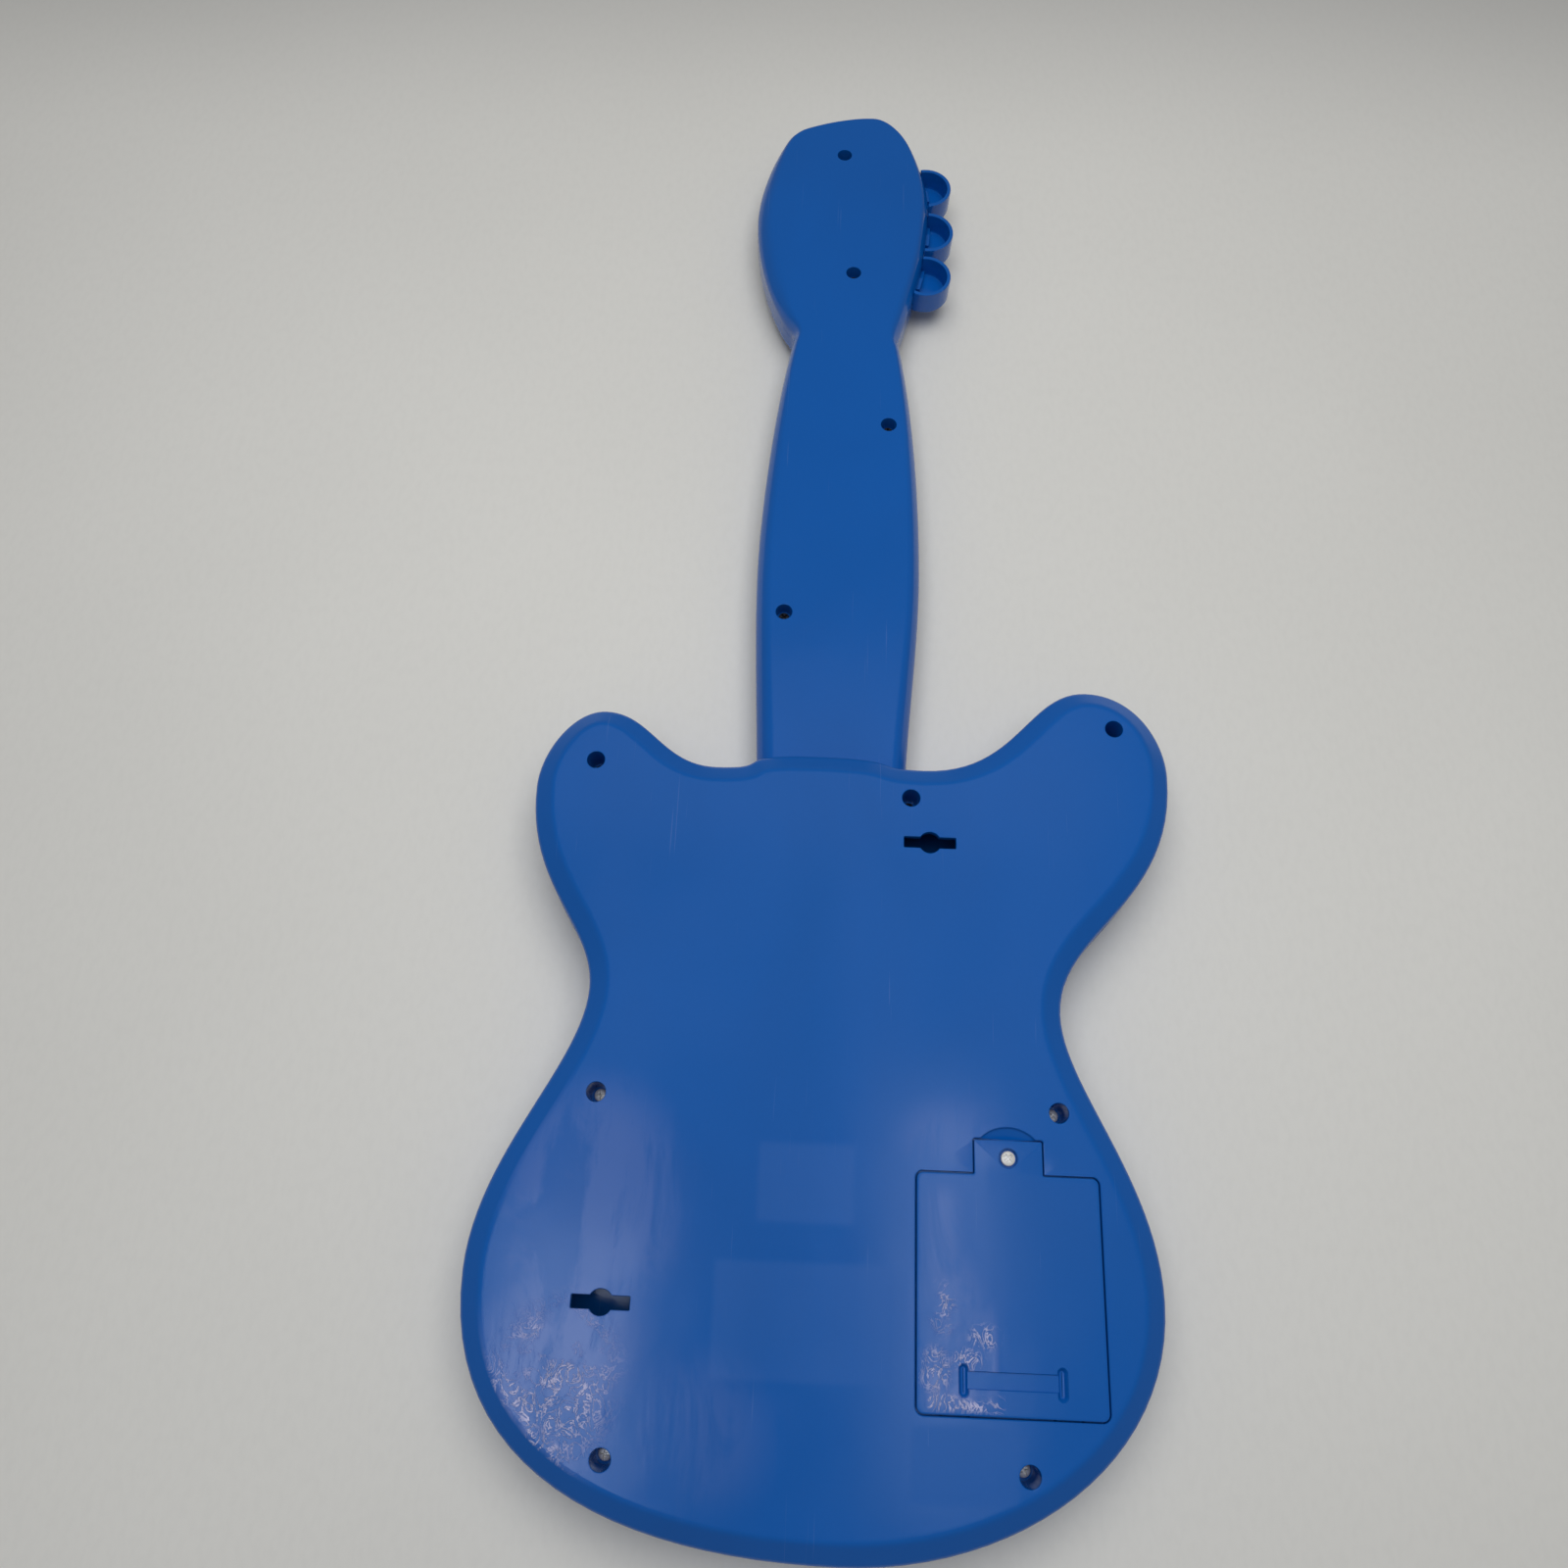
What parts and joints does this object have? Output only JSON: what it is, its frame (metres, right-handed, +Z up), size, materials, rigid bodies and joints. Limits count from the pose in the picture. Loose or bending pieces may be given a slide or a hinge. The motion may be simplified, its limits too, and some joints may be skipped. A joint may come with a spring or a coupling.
{
  "type": "toy electric guitar",
  "caption": "Toy electric guitar lying on its front: double-cutaway two-part casing with screwed battery door, hollow tuning pegs, fret keys, strum bar and song buttons.",
  "frame": {"origin": "under the middle of the guitar's outline, on the surface that its front rests on", "axes": "+Z up through the back of the guitar, +Y along the neck towards the headstock, +X towards the battery door side"},
  "size_m": [0.2194, 0.5407, 0.033],
  "materials": {
    "blue_shell_plastic": "semi-gloss moulded",
    "screw_steel": "zinc plated",
    "white_plastic": "semi-gloss moulded",
    "black_plastic": "satin moulded",
    "switch_steel": "tinned",
    "lens_plastic": "clear amber moulded",
    "circuit_board": "solder mask",
    "grey_rubber": "matte silicone",
    "speaker_black": "coated cone and frame",
    "red_wire": "insulated",
    "grey_ribbon": "insulated",
    "contact_steel": "nickel plated",
    "cell_jacket": "printed foil",
    "green_plastic": "semi-gloss moulded",
    "red_plastic": "semi-gloss moulded",
    "yellow_plastic": "semi-gloss moulded",
    "sky_plastic": "semi-gloss moulded",
    "orange_plastic": "semi-gloss moulded"
  },
  "bodies": {
    "casing": {"back_shell": "blue_shell_plastic", "front_shell": "blue_shell_plastic", "tuner_pegs": "blue_shell_plastic", "pickguard": "white_plastic", "fretboard": "black_plastic", "nut": "white_plastic", "bridge": "black_plastic", "strum_axle": "screw_steel", "power_switch": "switch_steel", "light_lens": "lens_plastic", "main_board": "circuit_board", "button_mat": "grey_rubber", "key_board": "circuit_board", "key_mat": "grey_rubber", "speaker": "speaker_black", "speaker_wire": "red_wire", "battery_wire": "red_wire", "ribbon_cable": "grey_ribbon", "contact_top_single": "contact_steel", "contact_top_pair": "contact_steel", "contact_bottom_pair": "contact_steel", "contact_bottom_single": "contact_steel", "case_screw_1": "screw_steel", "case_screw_2": "screw_steel", "case_screw_3": "screw_steel", "case_screw_4": "screw_steel", "case_screw_5": "screw_steel", "case_screw_6": "screw_steel", "case_screw_7": "screw_steel", "case_screw_8": "screw_steel", "case_screw_9": "screw_steel", "case_screw_10": "screw_steel", "case_screw_11": "screw_steel", "battery_cell_1": "cell_jacket", "battery_cell_2": "cell_jacket", "battery_cell_3": "cell_jacket"},
    "strum": {"strum_bar": "black_plastic"},
    "switch": {"power_slider": "black_plastic"},
    "door": {"battery_door": "blue_shell_plastic", "door_screw": "screw_steel"},
    "key_1": {"fret_key_1": "green_plastic"},
    "key_2": {"fret_key_2": "red_plastic"},
    "key_3": {"fret_key_3": "yellow_plastic"},
    "key_4": {"fret_key_4": "sky_plastic"},
    "key_5": {"fret_key_5": "orange_plastic"},
    "button_1": {"song_button_1": "red_plastic"},
    "button_2": {"song_button_2": "yellow_plastic"},
    "button_3": {"song_button_3": "sky_plastic"}
  },
  "joints": [
    {"name": "door_hinge", "type": "hinge", "parent": "casing", "child": "door", "pos_m": [0.05065, -0.2312, 0.033], "axis": [1, 0, 0], "range_deg": [0, 75]},
    {"name": "strum_rock", "type": "hinge", "parent": "casing", "child": "strum", "pos_m": [-0.0044, -0.15, 0.0095], "axis": [0, 1, 0], "range_deg": [-10, 10], "stiffness_Nm_per_rad": 0.06},
    {"name": "switch_slide", "type": "slide", "parent": "casing", "child": "switch", "axis": [0, 1, 0], "range_m": [0, 0.008]},
    {"name": "key_press_1", "type": "slide", "parent": "casing", "child": "key_1", "axis": [0, 0, 1], "range_m": [0, 0.002], "stiffness_N_per_m": 350, "springref_m": -0.0006},
    {"name": "key_press_2", "type": "slide", "parent": "casing", "child": "key_2", "axis": [0, 0, 1], "range_m": [0, 0.002], "stiffness_N_per_m": 350, "springref_m": -0.0006},
    {"name": "key_press_3", "type": "slide", "parent": "casing", "child": "key_3", "axis": [0, 0, 1], "range_m": [0, 0.002], "stiffness_N_per_m": 350, "springref_m": -0.0006},
    {"name": "key_press_4", "type": "slide", "parent": "casing", "child": "key_4", "axis": [0, 0, 1], "range_m": [0, 0.002], "stiffness_N_per_m": 350, "springref_m": -0.0006},
    {"name": "key_press_5", "type": "slide", "parent": "casing", "child": "key_5", "axis": [0, 0, 1], "range_m": [0, 0.002], "stiffness_N_per_m": 350, "springref_m": -0.0006},
    {"name": "button_press_1", "type": "slide", "parent": "casing", "child": "button_1", "axis": [0, 0, 1], "range_m": [0, 0.0015], "stiffness_N_per_m": 400, "springref_m": -0.0006},
    {"name": "button_press_2", "type": "slide", "parent": "casing", "child": "button_2", "axis": [0, 0, 1], "range_m": [0, 0.0015], "stiffness_N_per_m": 400, "springref_m": -0.0006},
    {"name": "button_press_3", "type": "slide", "parent": "casing", "child": "button_3", "axis": [0, 0, 1], "range_m": [0, 0.0015], "stiffness_N_per_m": 400, "springref_m": -0.0006}
  ]
}
